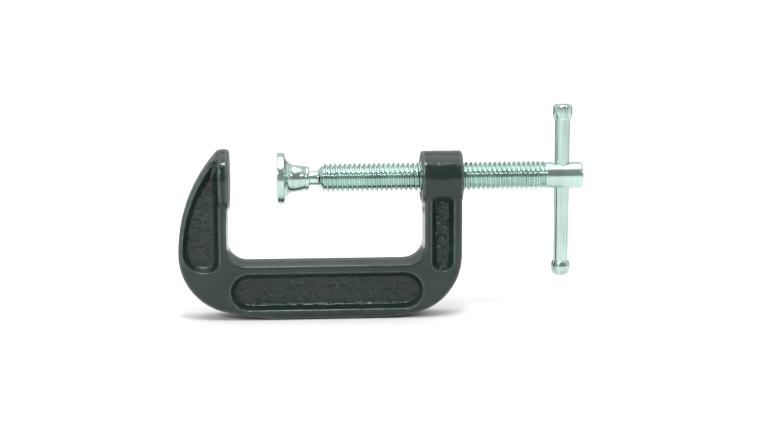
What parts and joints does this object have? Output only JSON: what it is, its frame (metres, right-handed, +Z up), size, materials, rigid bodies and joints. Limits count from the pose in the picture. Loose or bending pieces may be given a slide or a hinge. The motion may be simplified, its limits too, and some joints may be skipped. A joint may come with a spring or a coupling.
{
  "type": "c clamp",
  "caption": "C-shaped iron clamp frame with a threaded boss, a screw ending in a ball-jointed swivel pad, and a sliding handle bar through the screw's head.",
  "frame": {"origin": "centre of the fixed jaw's face, on the screw's axis", "axes": "+X along the screw from the fixed jaw to the handle, +Z up away from the spine that the clamp stands on, Y across the width of the frame"},
  "size_m": [0.1326, 0.02, 0.0692],
  "materials": {
    "enamelled_casting": "gloss enamel, dark grey-green, over rough casting",
    "zinc_plated_steel": "bright zinc plate"
  },
  "bodies": {
    "frame": {"frame": "enamelled_casting"},
    "pad": {"swivel_pad": "zinc_plated_steel"},
    "screw": {"screw": "zinc_plated_steel"},
    "handle": {"handle_bar": "zinc_plated_steel", "handle_cap": "zinc_plated_steel"}
  },
  "joints": [
    {"name": "pad_travel", "type": "slide", "parent": "frame", "child": "pad", "axis": [1, 0, 0], "range_m": [-0.0156, 0.036]},
    {"name": "screw_turn", "type": "hinge", "parent": "pad", "child": "screw", "pos_m": [0.109, 0, 0], "axis": [1, 0, 0], "range_deg": [-3537, 8163]},
    {"name": "bar_slide", "type": "slide", "parent": "screw", "child": "handle", "axis": [0, 0, 1], "range_m": [-0.01375, 0.02395]}
  ],
  "couplings": [
    {"joint": "pad_travel", "follows": "screw_turn", "m_per_rad": 0.00025266}
  ]
}
